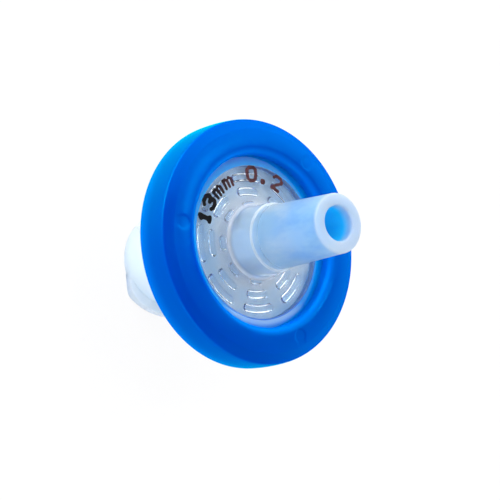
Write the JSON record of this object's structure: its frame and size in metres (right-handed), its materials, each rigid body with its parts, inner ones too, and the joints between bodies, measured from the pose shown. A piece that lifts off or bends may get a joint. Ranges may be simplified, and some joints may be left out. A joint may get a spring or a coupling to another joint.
{
  "type": "syringe filter",
  "caption": "Clear disc syringe filter with a blue ring, a threaded Luer inlet and a tapered Luer outlet, for filtering a small sample.",
  "frame": {"origin": "centre of the inlet rim, in the plane of its face", "axes": "+Z along the flow, from the inlet rim to the outlet tip; the first lug starts near 192 degrees from +X"},
  "size_m": [0.0168, 0.0168, 0.0186],
  "materials": {
    "inlet_moulding": "translucent natural polypropylene",
    "outlet_moulding": "translucent natural polypropylene, fine moulded surface",
    "membrane": "white porous membrane, matt",
    "ring": "saturated blue polypropylene, satin gloss",
    "ink": "ink-jet print, matt"
  },
  "bodies": {
    "root": {"inlet_housing": "inlet_moulding", "outlet_housing": "outlet_moulding", "membrane": "membrane", "overmould_ring": "ring"}
  },
  "joints": []
}
